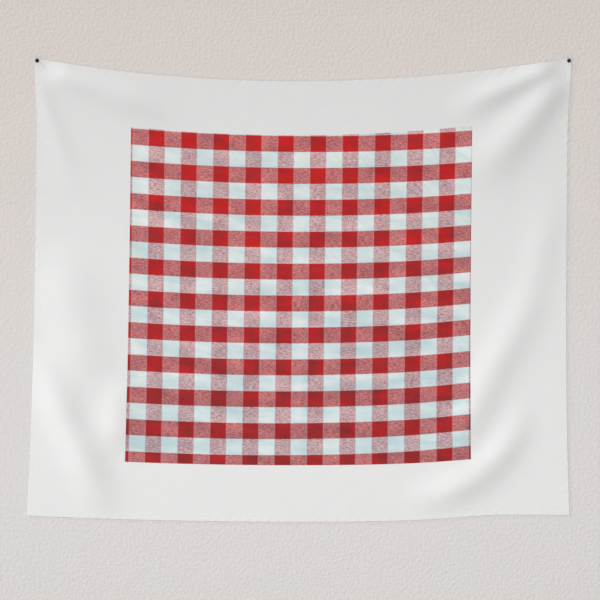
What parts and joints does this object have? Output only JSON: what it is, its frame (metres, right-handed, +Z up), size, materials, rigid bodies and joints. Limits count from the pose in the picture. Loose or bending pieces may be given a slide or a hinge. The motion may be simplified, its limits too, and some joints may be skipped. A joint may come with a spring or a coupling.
{
  "type": "wall tapestry",
  "caption": "Wide white cloth wall tapestry with a square red and white gingham print, hemmed on every edge and held to the wall by a black push pin at each top corner.",
  "frame": {"origin": "on the wall's surface, halfway between the two push pins", "axes": "+X along the wall to the viewer's right, +Y into the wall, +Z up; the cloth hangs on the -Y side"},
  "size_m": [1.5269, 0.0251, 1.2988],
  "materials": {
    "cloth": "matte",
    "hem": "matte",
    "thread": "matte",
    "pin_head": "gloss",
    "needle": "polished"
  },
  "bodies": {
    "top_edge": {"top_band": "cloth", "top_hem": "hem", "top_stitching": "thread"},
    "hanging_cloth": {"cloth_panel": "cloth", "left_hem": "hem", "right_hem": "hem", "bottom_hem": "hem", "left_stitching": "thread", "right_stitching": "thread", "bottom_stitching": "thread"},
    "left_pin": {"left_pin_head": "pin_head", "left_pin_needle": "needle"},
    "right_pin": {"right_pin_head": "pin_head", "right_pin_needle": "needle"}
  },
  "joints": [
    {"name": "foot_lift", "type": "hinge", "parent": "top_edge", "child": "hanging_cloth", "pos_m": [0, -0.00873, -0.0847], "axis": [-1, 0, 0], "range_deg": [0, 60]},
    {"name": "left_pin_pull", "type": "slide", "parent": "top_edge", "child": "left_pin", "axis": [0.1728, -0.9511, -0.2562], "range_m": [0, 0.022]},
    {"name": "right_pin_pull", "type": "slide", "parent": "top_edge", "child": "right_pin", "axis": [-0.1728, -0.9511, -0.2562], "range_m": [0, 0.022]}
  ]
}
